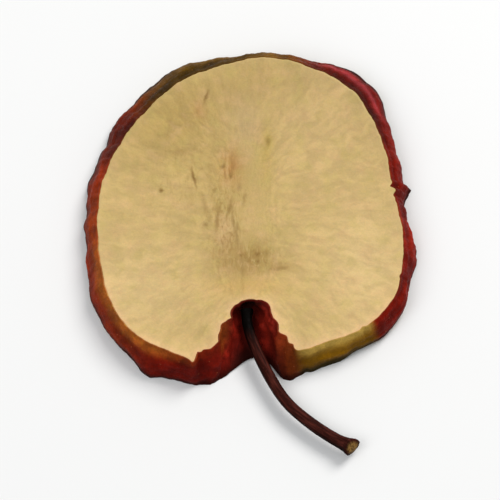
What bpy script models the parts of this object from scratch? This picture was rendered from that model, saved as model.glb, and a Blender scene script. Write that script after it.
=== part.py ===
"""Dried apple slice with its stem, lying flat with the cut face up.

The slice was cut lengthwise, from the stem end to the calyx end, and dried. Its flesh has
shrunk more than its skin, so the skin stands round it as a leaning, puckered band, and the
calyx end has curled up off the table. At the stem end the cut runs close to the apple's axis,
so it opens the stem hollow: a notch in the upper face, a trough of skin below it, and the stem
growing out of a pit at its end.

Plan view: +X to the right, +Y towards the calyx end, -Y towards the stem. Metres, +Z up.
"""

import math

import bmesh
import bpy
import numpy as np

MM = 0.001

# Slice: the edge of the upper cut face in plan, as it would run without the stem notch,
# anticlockwise from the middle of the stem end.
CUT_EDGE = (
    (0.0, -34.0),
    (8.0, -32.5),
    (15.0, -30.0),
    (22.0, -27.0),
    (27.4, -20.3),
    (29.1, -10.5),
    (27.5, 0.8),
    (25.0, 12.2),
    (20.3, 21.2),
    (12.0, 26.5),
    (3.5, 28.5),
    (-5.5, 27.0),
    (-14.2, 22.9),
    (-20.7, 16.6),
    (-26.6, 6.9),
    (-28.5, -2.5),
    (-28.1, -12.5),
    (-25.4, -23.2),
    (-19.6, -30.1),
    (-11.0, -34.0),
)
CENTRE = np.array((0.0, -2.0)) * MM

# Stem notch: depth, half width and middle, in the upper face and along the skin's lower edge.
NOTCH_DEPTH = 12.0 * MM
NOTCH_HALF_WIDTH = 5.9 * MM
NOTCH_MIDDLE = -0.1 * MM
NOTCH_ROUNDNESS = 2.7
TROUGH_DEPTH = 5.2 * MM
TROUGH_HALF_WIDTH = 5.4 * MM
TROUGH_MIDDLE = 1.1 * MM
PIT_DEPTH = 6.2 * MM
PIT_HALF_WIDTH = 3.2 * MM
PIT_ROUNDNESS = 3
PIT_LOWNESS = 1.4  # above 1, the pit is deepest below the middle of the band

# Band of skin: its height, how far its lower edge leans out, and how far it bows in between.
SKIN_HEIGHT = 5.6 * MM
SKIN_LEAN = 2.1 * MM
SKIN_BOW = 0.7 * MM
# Places round the rim, as (degrees from +X, half width in degrees, extra in mm).
LEAN_PLACES = (
    (52, 20, 1.7),
    (54, 13, 1.2),
    (11, 3, 1.0),
    (-5, 9, -1.0),
    (-16, 4.5, 0.6),
    (-30, 12, -0.65),
    (-52, 6, -0.9),
    (-79, 4.5, 2.0),
    (112, 18, 1.9),
    (140, 24, 1.9),
    (165, 4, 0.5),
    (-148, 7, 0.5),
    (-130, 6, -0.2),
    (-120.5, 3.5, 1.3),
)
HEIGHT_PLACES = ((90, 40, -0.6), (-112, 16, 0.5), (-35, 18, -0.5), (-4, 8, -0.4))
ARCH_PLACES = ((-38, 17, 1.0), (-146, 19, 0.8), (-90, 9, 0.7), (25, 14, 0.4))
UPPER_ARCH = 0.7  # the upper edge follows the arches below it by this much
RIM_FADE = 6.5 * MM  # how far in from the edge the rim's own shape dies out
PUCKER_FADE = 1.3 * MM

# Curl: how high the calyx end is lifted, and the stretch over which it rises.
CURL_HEIGHT = 3.5 * MM
CURL_START = 4.0 * MM
CURL_END = 31.0 * MM
CURL_POWER = 1.7
SETTLE = 0.15 * MM  # worn off below, so that the slice rests on small flats

# Flesh: how far the two faces have sunk inside the skin, the dent over the core, and low waves.
UPPER_SINK = 1.2 * MM
LOWER_SINK = 1.2 * MM
SINK_WIDTH = 4.2 * MM
CORE_DENT = 0.45 * MM
CORE_PLACE = np.array((-1.0, -9.0)) * MM
CORE_HALF_SIZE = np.array((6.0, 11.0)) * MM
FLESH_WAVE = 0.16 * MM
FLESH_WAVE_LENGTHS = np.array((19.0, 23.0)) * MM
FLESH_WAVE_PHASES = (0.6, -0.4)

# Puckers of the dried skin: waves round the rim and the depth of each.
PUCKERS = ((13, 0.16), (29, 0.13), (43, 0.08), (57, 0.05))
PUCKER_SEED = 4
PUCKER_SWELLS = 3  # each set of waves grows and dies away this many times round the rim
PUCKER_SWELL = 0.35
NOTCH_PUCKER = 3.6  # how much deeper they are in the stem notch
FOOT_PHASE = 0.9  # how far the waves lag from the skin's upper edge to its foot
CUT_PUCKER_SHARE = 0.6
CUT_PUCKER_RISE = 0.5
FOOT_PUCKER_RISE = 0.3

# Mesh: ribs round the rim, and rings from the middle of one face to the middle of the other.
RIBS = 168
FACE_RINGS = (0.0, 0.16, 0.34, 0.52, 0.68, 0.8, 0.88, 0.94, 0.98)
BAND_RINGS = (0.0, 0.12, 0.3, 0.5, 0.7, 0.88, 1.0)
EDGE_SAMPLES = 2400
SHARP_EDGE = math.radians(48)

# Stem: the middle line in mm, from the bottom of the pit to the tip, and its radius along it. It
# thickens steadily outwards, swells at the root and flares where it broke from the twig.
STEM_LINE = (
    (-0.4, -22.7, 3.8),
    (-0.3, -25.4, 3.6),
    (0.9, -29.4, 3.2),
    (3.7, -35.6, 2.7),
    (6.95, -40.9, 2.5),
    (11.2, -45.0, 2.4),
    (15.8, -48.3, 2.4),
    (19.2, -50.2, 2.5),
)
STEM_THIN_RADIUS = 0.93 * MM
STEM_THICK_RADIUS = 1.2 * MM
STEM_ROOT_SWELL = 0.3 * MM
STEM_TIP_FLARE = 0.5 * MM
STEM_ROOT_SHARE = 0.12
STEM_FLARE_SHARE = 0.13
STEM_FLARE_POWER = 1.6
STEM_POINTS = 44


def between(before, here, after, beyond, t):
    """The Catmull-Rom curve's place at t, from 0 at here to 1 at after."""
    return 0.5 * (
        2 * here
        + (after - before) * t
        + (2 * before - 5 * here + 4 * after - beyond) * t**2
        + (3 * here - before - 3 * after + beyond) * t**3
    )


def smooth_loop(points, samples):
    """A closed smooth curve through the points, as (samples, 2)."""
    points = np.asarray(points, float)
    place = np.linspace(0, len(points), samples, endpoint=False)
    start = place.astype(int)
    corners = (points[(start + step) % len(points)] for step in (-1, 0, 1, 2))
    return between(*corners, (place - start)[:, None])


def smooth_line(points, samples):
    """An open smooth curve through the points, with its ends carried straight on."""
    points = np.asarray(points, float)
    ends = 2 * points[[0, -1]] - points[[1, -2]]
    whole = np.vstack((ends[:1], points, ends[1:]))
    place = np.linspace(0, len(points) - 1, samples)
    start = np.minimum(place.astype(int), len(points) - 2)
    corners = (whole[start + step] for step in (0, 1, 2, 3))
    return between(*corners, (place - start)[:, None])


def bell(x, middle, half_width, power=2.0):
    """1 at the middle, falling smoothly to nothing over a few half widths."""
    return np.exp(-(np.abs((x - middle) / half_width) ** power))


def round_rim(angle, places):
    """The sum of the local features round the rim, in metres, at each angle."""
    total = np.zeros_like(angle)
    for degrees, half_width, extra in places:
        turn = (np.degrees(angle) - degrees + 180) % 360 - 180
        total += extra * MM * bell(turn, 0, half_width)
    return total


def outward(edge):
    """The outward direction in plan at each point of an anticlockwise loop."""
    along = np.roll(edge, -1, axis=0) - np.roll(edge, 1, axis=0)
    across = np.stack((along[:, 1], -along[:, 0]), axis=1)
    return across / np.linalg.norm(across, axis=1, keepdims=True)


def puckers(turns, phase_step):
    """The skin's waves at each share of the way round, in metres."""
    phases = np.random.default_rng(PUCKER_SEED).uniform(0, 2 * math.pi, (len(PUCKERS), 2))
    total = np.zeros_like(turns)
    for (count, depth), (phase, swell) in zip(PUCKERS, phases):
        strength = 1 - PUCKER_SWELL + PUCKER_SWELL * np.sin(2 * math.pi * PUCKER_SWELLS * turns + swell)
        total += depth * MM * strength * np.sin(2 * math.pi * count * turns + phase + phase_step)
    return total


def rim_ribs():
    """The plan of the skin's two edges, and the values that shape the slice, over the ribs."""
    body = smooth_loop(CUT_EDGE, EDGE_SAMPLES) * MM
    angle = np.arctan2(body[:, 1] - CENTRE[1], body[:, 0] - CENTRE[0])
    lean = SKIN_LEAN + round_rim(angle, LEAN_PLACES)
    foot = body + outward(body) * lean[:, None]
    stem_end = body[:, 1] < CENTRE[1]

    cut = body.copy()
    notch = bell(cut[:, 0], NOTCH_MIDDLE, NOTCH_HALF_WIDTH, NOTCH_ROUNDNESS) * stem_end
    cut[:, 1] += NOTCH_DEPTH * notch
    trough = bell(foot[:, 0], TROUGH_MIDDLE, TROUGH_HALF_WIDTH) * stem_end
    foot[:, 1] += TROUGH_DEPTH * trough

    # Equal steps along the notched edge, so that the notch's walls get their share of ribs.
    steps = np.linalg.norm(np.roll(cut, -1, axis=0) - cut, axis=1)
    walked = np.concatenate(([0], np.cumsum(steps)))
    wanted = np.arange(RIBS) / RIBS * walked[-1]
    index = np.searchsorted(walked, wanted, side="right") - 1
    cut = cut[index]
    foot = foot[index]
    turns = wanted / walked[-1]

    depth = 1 + (NOTCH_PUCKER - 1) * notch[index]
    rim = {
        "arch": round_rim(angle[index], ARCH_PLACES),
        "rise": round_rim(angle[index], HEIGHT_PLACES),
        "notch": notch[index],
        "pit": bell(cut[:, 0], NOTCH_MIDDLE, PIT_HALF_WIDTH, PIT_ROUNDNESS) * stem_end[index],
        "cut_pucker": puckers(turns, 0.0) * depth,
        "foot_pucker": puckers(turns, FOOT_PHASE) * depth,
        "way_out": outward(cut),
    }
    cut = cut + rim["way_out"] * (CUT_PUCKER_SHARE * rim["cut_pucker"])[:, None]
    foot = foot + outward(foot) * rim["foot_pucker"][:, None]
    return cut, foot, rim


def lifted(y):
    """How far the curl lifts the slice at this distance along it."""
    return CURL_HEIGHT * np.clip((y - CURL_START) / (CURL_END - CURL_START), 0, 1) ** CURL_POWER


def way_in(plan, edge):
    """How far each point lies from the nearest point of the edge."""
    apart = plan[:, None] - edge[None, :]
    return np.linalg.norm(apart, axis=2).min(axis=1)


def flesh_relief(plan):
    """The low waves of the dried face and the dent over the core."""
    away = (plan - CORE_PLACE) / CORE_HALF_SIZE
    dent = CORE_DENT * np.exp(-(away**2).sum(axis=1))
    across, along = (plan / FLESH_WAVE_LENGTHS * 2 * math.pi).T
    wave = FLESH_WAVE * np.sin(across + FLESH_WAVE_PHASES[0]) * np.cos(along + FLESH_WAVE_PHASES[1])
    return wave - dent


def upper_ring(cut, rim, share):
    """The ring of the upper face at this share of the way from its middle to the cut edge."""
    plan = CENTRE + share * (cut - CENTRE)
    inset = way_in(plan, cut)
    near_rim = np.exp(-inset / RIM_FADE)
    height = SKIN_HEIGHT + lifted(plan[:, 1]) - UPPER_SINK * (1 - np.exp(-inset / SINK_WIDTH))
    height += (UPPER_ARCH * rim["arch"] + rim["rise"]) * near_rim
    height += CUT_PUCKER_RISE * rim["cut_pucker"] * np.exp(-inset / PUCKER_FADE)
    height += flesh_relief(plan) * (1 - near_rim)
    return np.column_stack((plan, height))


def lower_ring(foot, rim, share):
    """The ring of the lower face at this share of the way from its middle to the skin's foot."""
    plan = CENTRE + share * (foot - CENTRE)
    inset = way_in(plan, foot)
    height = lifted(plan[:, 1]) - SETTLE + LOWER_SINK * (1 - np.exp(-inset / SINK_WIDTH))
    height += rim["arch"] * np.exp(-inset / RIM_FADE)
    height += FOOT_PUCKER_RISE * rim["foot_pucker"] * np.exp(-inset / PUCKER_FADE)
    return np.column_stack((plan, np.maximum(height, 0)))


def skin_ring(upper_edge, lower_edge, rim, down):
    """The ring of the band of skin at this share of the way down: bowed out, and hollow at the pit."""
    ring = upper_edge + down * (lower_edge - upper_edge)
    bow = SKIN_BOW * (1 - rim["notch"]) + CUT_PUCKER_SHARE * rim["cut_pucker"]
    ring[:, :2] += rim["way_out"] * (bow * math.sin(math.pi * down))[:, None]
    ring[:, 1] += PIT_DEPTH * rim["pit"] * math.sin(math.pi * down**PIT_LOWNESS)
    return ring


def slice_rings():
    """Every vertex of the slice, as (rings, ribs, 3), from the upper face's middle to the lower's."""
    cut, foot, rim = rim_ribs()
    upper_edge = upper_ring(cut, rim, 1.0)
    lower_edge = lower_ring(foot, rim, 1.0)
    rings = [upper_ring(cut, rim, share) for share in FACE_RINGS]
    rings += [skin_ring(upper_edge, lower_edge, rim, down) for down in BAND_RINGS]
    rings += [lower_ring(foot, rim, share) for share in reversed(FACE_RINGS)]
    return np.array(rings)


def plain_material(name, colour, roughness):
    material = bpy.data.materials.new(name)
    material.use_nodes = True
    shader = material.node_tree.nodes["Principled BSDF"]
    shader.inputs["Base Color"].default_value = (*colour, 1.0)
    shader.inputs["Roughness"].default_value = roughness
    shader.inputs["Metallic"].default_value = 0.0
    material.diffuse_color = (*colour, 1.0)
    return material


def add_slice(collection):
    """A ball with one ring of faces for each ring of the slice, pressed into the slice's form."""
    rings = slice_rings()
    last = len(rings) - 1
    shape = bmesh.new()
    bmesh.ops.create_uvsphere(shape, u_segments=RIBS, v_segments=last, radius=1.0)
    ring_of = {}
    for vertex in shape.verts:
        ring = round(math.acos(max(-1.0, min(1.0, vertex.co.z))) / math.pi * last)
        rib = round(math.atan2(vertex.co.y, vertex.co.x) / (2 * math.pi) * RIBS) % RIBS
        vertex.co = rings[ring, rib]
        ring_of[vertex] = ring
    cut_edge = len(FACE_RINGS)
    foot_edge = cut_edge + len(BAND_RINGS) - 1
    for face in shape.faces:
        face.smooth = True
        rings_here = [ring_of[vertex] for vertex in face.verts]
        face.material_index = int(min(rings_here) >= cut_edge and max(rings_here) <= foot_edge)

    mesh = bpy.data.meshes.new("slice")
    shape.to_mesh(mesh)
    shape.free()
    mesh.materials.append(plain_material("dried flesh", (0.62, 0.45, 0.19), 0.75))
    mesh.materials.append(plain_material("dried skin", (0.19, 0.026, 0.012), 0.45))
    mesh.set_sharp_from_angle(angle=SHARP_EDGE)
    made = bpy.data.objects.new("slice", mesh)
    collection.objects.link(made)
    return made


def add_stem(collection):
    """A rod along the stem's line, with the stem's radius at each point."""
    line = smooth_line(STEM_LINE, STEM_POINTS) * MM
    curve = bpy.data.curves.new("stem", "CURVE")
    curve.dimensions = "3D"
    curve.bevel_depth = STEM_THICK_RADIUS
    curve.bevel_resolution = 3
    curve.use_fill_caps = True
    spline = curve.splines.new("POLY")
    spline.points.add(STEM_POINTS - 1)
    for number, (point, place) in enumerate(zip(spline.points, line)):
        along = number / (STEM_POINTS - 1)
        radius = STEM_THIN_RADIUS + along * (STEM_THICK_RADIUS - STEM_THIN_RADIUS)
        radius += STEM_ROOT_SWELL * max(0.0, 1 - along / STEM_ROOT_SHARE) ** 2
        radius += STEM_TIP_FLARE * max(0.0, 1 - (1 - along) / STEM_FLARE_SHARE) ** STEM_FLARE_POWER
        point.co = (*place, 1.0)
        point.radius = radius / STEM_THICK_RADIUS
    curve.materials.append(plain_material("stem wood", (0.053, 0.016, 0.012), 0.6))
    made = bpy.data.objects.new("stem", curve)
    collection.objects.link(made)
    return made


def lowest_and_highest(objects):
    graph = bpy.context.evaluated_depsgraph_get()
    corners = []
    for made in objects:
        mesh = made.evaluated_get(graph).to_mesh()
        corners.extend(made.matrix_world @ vertex.co for vertex in mesh.vertices)
    corners = np.array(corners)
    return corners.min(axis=0), corners.max(axis=0)


def main():
    for old in list(bpy.data.objects):
        bpy.data.objects.remove(old, do_unlink=True)
    collection = bpy.data.collections.new("dried apple slice")
    bpy.context.scene.collection.children.link(collection)
    pieces = [add_slice(collection), add_stem(collection)]

    # The origin is the middle of the whole footprint, on the table.
    bpy.context.view_layer.update()
    low, high = lowest_and_highest(pieces)
    for made in pieces:
        made.location = (-(low[0] + high[0]) / 2, -(low[1] + high[1]) / 2, -low[2])


main()
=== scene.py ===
import math

import bpy
import numpy as np
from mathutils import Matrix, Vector
from mathutils.geometry import delaunay_2d_cdt


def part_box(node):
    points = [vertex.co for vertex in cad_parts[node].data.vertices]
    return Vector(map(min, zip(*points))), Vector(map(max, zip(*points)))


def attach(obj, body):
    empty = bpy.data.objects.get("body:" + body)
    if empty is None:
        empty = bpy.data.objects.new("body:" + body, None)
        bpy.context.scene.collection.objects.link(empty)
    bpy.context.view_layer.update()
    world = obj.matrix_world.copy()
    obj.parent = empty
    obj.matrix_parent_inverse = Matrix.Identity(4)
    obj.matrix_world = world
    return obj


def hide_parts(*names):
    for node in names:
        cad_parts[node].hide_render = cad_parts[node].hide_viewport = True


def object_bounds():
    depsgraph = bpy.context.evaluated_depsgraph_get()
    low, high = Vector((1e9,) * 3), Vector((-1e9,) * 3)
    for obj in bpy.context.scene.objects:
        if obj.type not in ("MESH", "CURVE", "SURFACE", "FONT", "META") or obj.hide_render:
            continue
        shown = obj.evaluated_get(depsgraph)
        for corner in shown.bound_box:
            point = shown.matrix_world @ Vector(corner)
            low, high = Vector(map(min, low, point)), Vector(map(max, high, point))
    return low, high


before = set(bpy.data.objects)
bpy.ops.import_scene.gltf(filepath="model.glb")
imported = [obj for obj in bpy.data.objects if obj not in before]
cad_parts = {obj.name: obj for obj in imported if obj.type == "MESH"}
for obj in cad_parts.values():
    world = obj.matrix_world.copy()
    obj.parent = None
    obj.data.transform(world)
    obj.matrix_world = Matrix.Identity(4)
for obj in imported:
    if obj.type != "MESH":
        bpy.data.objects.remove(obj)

cad_low, cad_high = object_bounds()

# Skin: the apple's own peel, left as a thin tough band round the slice between the two knife
# cuts. It still grows on the flesh, and has puckered and leaned out as the flesh shrank. At the
# stem end it runs down into the stem hollow. Plan in mm: +Y to the calyx, -Y to the stem.

CUT_EDGE = (
    (0.0, -34.0),
    (8.0, -32.5),
    (15.0, -30.0),
    (22.0, -27.0),
    (27.4, -20.3),
    (29.1, -10.5),
    (27.5, 0.8),
    (25.0, 12.2),
    (20.3, 21.2),
    (12.0, 26.5),
    (3.5, 28.5),
    (-5.5, 27.0),
    (-14.2, 22.9),
    (-20.7, 16.6),
    (-26.6, 6.9),
    (-28.5, -2.5),
    (-28.1, -12.5),
    (-25.4, -23.2),
    (-19.6, -30.1),
    (-11.0, -34.0),
)
CENTRE = np.array((0.0, -2.0))
RIBS = 896
EDGE_SAMPLES = 28000

NOTCH_DEPTH = 12.0
NOTCH_HALF_WIDTH = 5.9
NOTCH_MIDDLE = -0.1
NOTCH_ROUNDNESS = 2.7
TROUGH_DEPTH = 5.2
TROUGH_HALF_WIDTH = 5.4
TROUGH_MIDDLE = 1.1
PIT_DEPTH = 6.2
PIT_HALF_WIDTH = 3.2
PIT_ROUNDNESS = 3
PIT_LOWNESS = 1.4

SKIN_HEIGHT = 5.6
SKIN_LEAN = 2.1
SKIN_BOW = 0.7
# Places round the rim, as (degrees from +X, half width in degrees, extra in mm).
LEAN_PLACES = (
    (52, 20, 1.7),
    (54, 13, 1.2),
    (11, 3, 1.0),
    (-5, 9, -1.0),
    (-16, 4.5, 0.6),
    (-30, 12, -0.65),
    (-52, 6, -0.9),
    (-79, 4.5, 2.0),
    (112, 18, 1.9),
    (140, 24, 1.9),
    (165, 4, 0.5),
    (-148, 7, 0.5),
    (-130, 6, -0.2),
    (-120.5, 3.5, 1.3),
)
HEIGHT_PLACES = ((90, 40, -0.6), (-112, 16, 0.5), (-35, 18, -0.5), (-4, 8, -0.4))
ARCH_PLACES = ((-38, 17, 1.0), (-146, 19, 0.8), (-90, 9, 0.7), (25, 14, 0.4))
NICKS = (
    (9.2, 0.8, -0.55),
    (7.3, 1.1, 0.4),
    (5.3, 0.8, -0.2),
    (-27.0, 0.9, -0.3),
    (-50.0, 0.8, -0.3),
    (-118.0, 8.0, -0.5),
)
FOOT_NICKS = (
    (13.2, 0.7, -0.5),
    (11.6, 0.9, 0.7),
    (9.3, 1.2, 0.25),
    (-13.0, 1.2, 0.35),
    (-71.5, 1.0, -0.3),
    (-119.0, 1.2, 0.2),
    (-177.0, 1.8, 0.25),
    (151.0, 1.6, -0.25),
    (142.0, 2.0, 0.2),
)
UPPER_ARCH = 0.7
RIM_FADE = 6.5
PUCKER_FADE = 1.3

CURL_HEIGHT = 3.5
CURL_START = 4.0
CURL_END = 31.0
CURL_POWER = 1.7
SETTLE = 0.15
UPPER_SINK = 1.2
LOWER_SINK = 1.2
SINK_WIDTH = 4.2

PUCKERS = ((13, 0.16), (29, 0.13), (43, 0.08), (57, 0.05))
FINE_PUCKERS = ((83, 0.035), (131, 0.03), (190, 0.02))
PUCKER_SEED = 4
PUCKER_SWELLS = 3
PUCKER_SWELL = 0.35
NOTCH_PUCKER = 3.6
FOOT_PHASE = 0.9
CUT_PUCKER_SHARE = 0.6
CUT_PUCKER_RISE = 0.5
FOOT_PUCKER_RISE = 0.3
# Lumps along the stem hollow's edge, as (x, y, half width, push outwards).
HOLLOW_LUMPS = (
    (-11.3, -33.8, 0.8, 0.2),
    (-10.4, -33.9, 0.6, 0.7),
    (-8.9, -33.4, 0.8, -1.3),
    (-7.8, -32.5, 0.8, -1.0),
    (-6.0, -29.9, 0.8, 0.45),
    (-5.2, -28.0, 0.9, 0.05),
    (-5.0, -26.6, 0.7, -0.7),
    (-3.7, -24.9, 0.7, 0.65),
    (-3.4, -24.0, 0.9, 0.3),
    (2.6, -22.9, 1.6, -1.3),
    (5.0, -26.4, 1.2, -0.5),
    (6.4, -29.2, 0.9, -0.7),
    (7.4, -31.2, 0.6, -0.6),
    (9.0, -32.0, 0.8, 0.3),
)

SKIN_THICKNESS = 0.38
FACING_ROUNDS = 14
SKIN_ROWS = 36
INNER_ROWS = (1, 3, 7, 13, 20, 27, 32, 35)
LIP_STEPS = ((0.2, 0.06), (0.5, 0.09), (0.8, 0.06))
FOOT_STEPS = ((0.2, 0.03), (0.5, 0.05), (0.8, 0.03))

PEEL_SIZES = {
    "Fold Depth": 0.3,
    "Fold Size": 2.3,
    "Pleat Depth": 0.07,
    "Pleat Size": 1.9,
    "Crease Depth": 0.06,
    "Crease Size": 0.6,
    "Lump Depth": 0.5,
    "Dot Spacing": 2.6,
    "Dot Radius": 0.12,
}


def srgb(red, green, blue):
    """A colour given as it looks on a screen, from 0 to 255, as the light that it reflects."""
    shares = (value / 255 for value in (red, green, blue))
    return tuple(s / 12.92 if s <= 0.04045 else ((s + 0.055) / 1.055) ** 2.4 for s in shares)


CRIMSON = srgb(140, 26, 8)
DEEP_RED = srgb(107, 15, 4)
DARK_RUSSET = srgb(98, 30, 12)
# A painted highlight: the pink strip along the middle of the band at the upper right.
ROSE_HIGHLIGHT = srgb(180, 66, 72)
RUSSET = srgb(168, 90, 30)
BROWN = srgb(112, 52, 12)
DARK_BROWN = srgb(54, 20, 6)
OLIVE = srgb(138, 94, 4)
DARK_OLIVE = srgb(64, 43, 3)
DARK_RED = srgb(66, 14, 6)
OLIVE_BROWN = srgb(112, 80, 20)
PALE_OLIVE = srgb(186, 154, 76)
DRY_FLESH = srgb(196, 140, 84)
HOLLOW_RED = srgb(158, 38, 26)
HOLLOW_BROWN = srgb(146, 68, 22)
# Painted shade for the deepest part of the stem hollow.
HOLLOW_SHADE = srgb(14, 9, 5)
# Painted shade at the band's foot, where it turns under and meets the floor.
FOOT_SHADE = srgb(44, 10, 5)
FOOT_OLIVE_SHADE = srgb(34, 32, 4)
PORE_TAN = srgb(180, 104, 66)
# The brown lump on the hollow's left wall, as (x, y, half width).
BROWN_LUMP = (-5.3, -27.6, 2.4)
# Where the peel's colour departs from crimson, as (degrees, half width, colour, share).
PEEL_PLACES = (
    (-114, 24, DEEP_RED, 0.95),
    (-155, 30, RUSSET, 0.15),
    (170, 22, RUSSET, 0.15),
    (148, 15, DARK_RUSSET, 0.8),
    # Over the top of the rim this olive brown is partly painted shadow, partly the peel's own olive brown.
    (100, 32, OLIVE_BROWN, 0.95),
    (0, 22, DEEP_RED, 0.7),
    (-11, 7, CRIMSON, 0.9),
    (-33, 14, DEEP_RED, 0.6),
    (-76.5, 5, BROWN, 0.95),
    (-83, 3, DARK_BROWN, 0.6),
)


def between(before, here, after, beyond, t):
    """The Catmull-Rom curve's place at t, from 0 at here to 1 at after."""
    return 0.5 * (
        2 * here
        + (after - before) * t
        + (2 * before - 5 * here + 4 * after - beyond) * t**2
        + (3 * here - before - 3 * after + beyond) * t**3
    )


def smooth_loop(points, samples):
    """A closed smooth curve through the points."""
    points = np.asarray(points, float)
    place = np.linspace(0, len(points), samples, endpoint=False)
    start = place.astype(int)
    corners = (points[(start + step) % len(points)] for step in (-1, 0, 1, 2))
    return between(*corners, (place - start)[:, None])


def bell(x, middle, half_width, power=2.0):
    """1 at the middle, falling smoothly to nothing over a few half widths."""
    return np.exp(-(np.abs((x - middle) / half_width) ** power))


def side_bell(angle, degrees, half_width, power=2.0):
    """A bell over the directions round the rim: 1 at this one, in degrees from +X."""
    return bell((np.degrees(angle) - degrees + 180) % 360 - 180, 0, half_width, power)


def round_rim(angle, places):
    """The sum of the local features round the rim at each angle."""
    return sum(extra * side_bell(angle, degrees, half_width) for degrees, half_width, extra in places)


def outward(edge):
    """The outward direction in plan at each point of an anticlockwise loop."""
    along = np.roll(edge, -1, axis=0) - np.roll(edge, 1, axis=0)
    across = np.stack((along[:, 1], -along[:, 0]), axis=1)
    return across / np.linalg.norm(across, axis=1, keepdims=True)


def puckers(turns, phase_step, waves, seed):
    """Waves round the rim, each swelling and dying away a few times on the way."""
    phases = np.random.default_rng(seed).uniform(0, 2 * math.pi, (len(waves), 2))
    total = np.zeros_like(turns)
    for (count, depth), (phase, swell) in zip(waves, phases):
        strength = 1 - PUCKER_SWELL + PUCKER_SWELL * np.sin(2 * math.pi * PUCKER_SWELLS * turns + swell)
        total += depth * strength * np.sin(2 * math.pi * count * turns + phase + phase_step)
    return total


def rim_ribs():
    """The plan of the skin's two edges, and the values that shape the slice, over the ribs."""
    body = smooth_loop(CUT_EDGE, EDGE_SAMPLES)
    angle = np.arctan2(body[:, 1] - CENTRE[1], body[:, 0] - CENTRE[0])
    lean = SKIN_LEAN + round_rim(angle, LEAN_PLACES)
    foot = body + outward(body) * lean[:, None]
    stem_end = body[:, 1] < CENTRE[1]

    cut = body.copy()
    notch = bell(cut[:, 0], NOTCH_MIDDLE, NOTCH_HALF_WIDTH, NOTCH_ROUNDNESS) * stem_end
    cut[:, 1] += NOTCH_DEPTH * notch
    trough = bell(foot[:, 0], TROUGH_MIDDLE, TROUGH_HALF_WIDTH) * stem_end
    foot[:, 1] += TROUGH_DEPTH * trough

    # Equal steps along the notched edge, so that the notch's walls get their share of ribs.
    steps = np.linalg.norm(np.roll(cut, -1, axis=0) - cut, axis=1)
    walked = np.concatenate(([0], np.cumsum(steps)))
    wanted = np.arange(RIBS) / RIBS * walked[-1]
    index = np.searchsorted(walked, wanted, side="right") - 1
    cut_out = outward(cut)[index]
    foot_out = outward(foot)[index]
    cut = cut[index]
    foot = foot[index]
    angle = angle[index]
    notch = notch[index]
    turns = wanted / walked[-1]

    cut_pucker = puckers(turns, 0.0, PUCKERS, PUCKER_SEED) * (1 + (NOTCH_PUCKER - 1) * notch)
    foot_pucker = puckers(turns, FOOT_PHASE, PUCKERS, PUCKER_SEED) * (1 - 0.8 * notch)
    rim = {
        "angle": angle,
        "arch": round_rim(angle, ARCH_PLACES),
        "rise": round_rim(angle, HEIGHT_PLACES),
        "notch": notch,
        "pit": bell(cut[:, 0], NOTCH_MIDDLE, PIT_HALF_WIDTH, PIT_ROUNDNESS) * stem_end[index],
        "cut_pucker": cut_pucker,
        "foot_pucker": foot_pucker,
        "fine": puckers(turns, 0.0, FINE_PUCKERS, PUCKER_SEED + 1) * (1 + notch),
        "way_out": cut_out,
        "foot_out": foot_out,
    }
    push = CUT_PUCKER_SHARE * cut_pucker + rim["fine"] + round_rim(angle, NICKS)
    for x, y, half_width, out in HOLLOW_LUMPS:
        push += out * bell(np.hypot(cut[:, 0] - x, cut[:, 1] - y), 0, half_width)
    foot_fine = puckers(turns, FOOT_PHASE, FINE_PUCKERS, PUCKER_SEED + 2) * (1 - notch)
    foot_push = foot_pucker + foot_fine + round_rim(angle, FOOT_NICKS)
    cut = cut + cut_out * push[:, None]
    foot = foot + foot_out * foot_push[:, None]
    return cut, foot, rim


def lifted(y):
    """How far the curl lifts the slice at this distance along it."""
    return CURL_HEIGHT * np.clip((y - CURL_START) / (CURL_END - CURL_START), 0, 1) ** CURL_POWER


cut_edge, foot_edge, rim = rim_ribs()
cut_height = SKIN_HEIGHT + lifted(cut_edge[:, 1]) + UPPER_ARCH * rim["arch"] + rim["rise"]
cut_height += CUT_PUCKER_RISE * rim["cut_pucker"] + rim["fine"]
foot_height = lifted(foot_edge[:, 1]) - SETTLE + rim["arch"] + FOOT_PUCKER_RISE * rim["foot_pucker"]
upper_line = np.column_stack((cut_edge, cut_height))
lower_line = np.column_stack((foot_edge, np.maximum(foot_height, 0)))

band = []
for down in np.linspace(0, 1, SKIN_ROWS + 1):
    ring = upper_line + down * (lower_line - upper_line)
    bow = SKIN_BOW * (1 - rim["notch"]) + CUT_PUCKER_SHARE * rim["cut_pucker"]
    ring[:, :2] += rim["way_out"] * (bow * math.sin(math.pi * down))[:, None]
    ring[:, 1] += PIT_DEPTH * rim["pit"] * math.sin(math.pi * down**PIT_LOWNESS)
    band.append(ring)
band = np.array(band)

round_step = np.roll(band, -1, axis=1) - np.roll(band, 1, axis=1)
facing = np.cross(np.gradient(band, axis=0), round_step)
facing /= np.linalg.norm(facing, axis=2, keepdims=True)
# Evened out along the ribs, so that the inner face doesn't loop at a sharp corner.
for _ in range(FACING_ROUNDS):
    facing = (np.roll(facing, 1, axis=1) + 2 * facing + np.roll(facing, -1, axis=1)) / 4
facing /= np.linalg.norm(facing, axis=2, keepdims=True)


def skin_at(row, depth, rise=0.0):
    """The band's ring at this row, this deep under the skin's outer face and raised by rise."""
    ring = band[row] - depth * facing[row]
    ring[:, 2] = np.maximum(ring[:, 2] + rise, 0)
    return ring


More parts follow.
